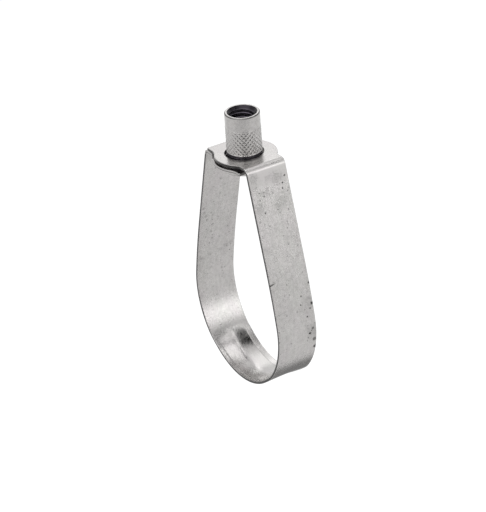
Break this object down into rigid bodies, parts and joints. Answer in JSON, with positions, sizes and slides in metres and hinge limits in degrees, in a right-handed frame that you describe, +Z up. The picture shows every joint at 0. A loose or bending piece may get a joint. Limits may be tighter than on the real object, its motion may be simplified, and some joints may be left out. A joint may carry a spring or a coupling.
{
  "type": "swivel ring hanger",
  "caption": "Drop-shaped steel strap ring that hangs a pipe from a threaded rod by a captive knurled nut, round which the ring swivels.",
  "frame": {"origin": "on the nut's axis, level with the top face of the strap's upper layer", "axes": "+Z up along the rod's thread, Y along the pipe, X across the ring; the upper layer is bent from the +X leg"},
  "size_m": [0.0568, 0.0228, 0.1065],
  "materials": {
    "galvanised_sheet": "satin galvanised sheet, lightly mottled and pitted",
    "plated_nut": "bright zinc plate over turned and knurled steel"
  },
  "bodies": {
    "nut": {"swivel_nut": "plated_nut"},
    "ring": {"strap": "galvanised_sheet"}
  },
  "joints": [
    {"name": "ring_swivel", "type": "hinge", "parent": "nut", "child": "ring", "pos_m": [0, 0, 0], "axis": [0, 0, 1], "continuous": true}
  ]
}
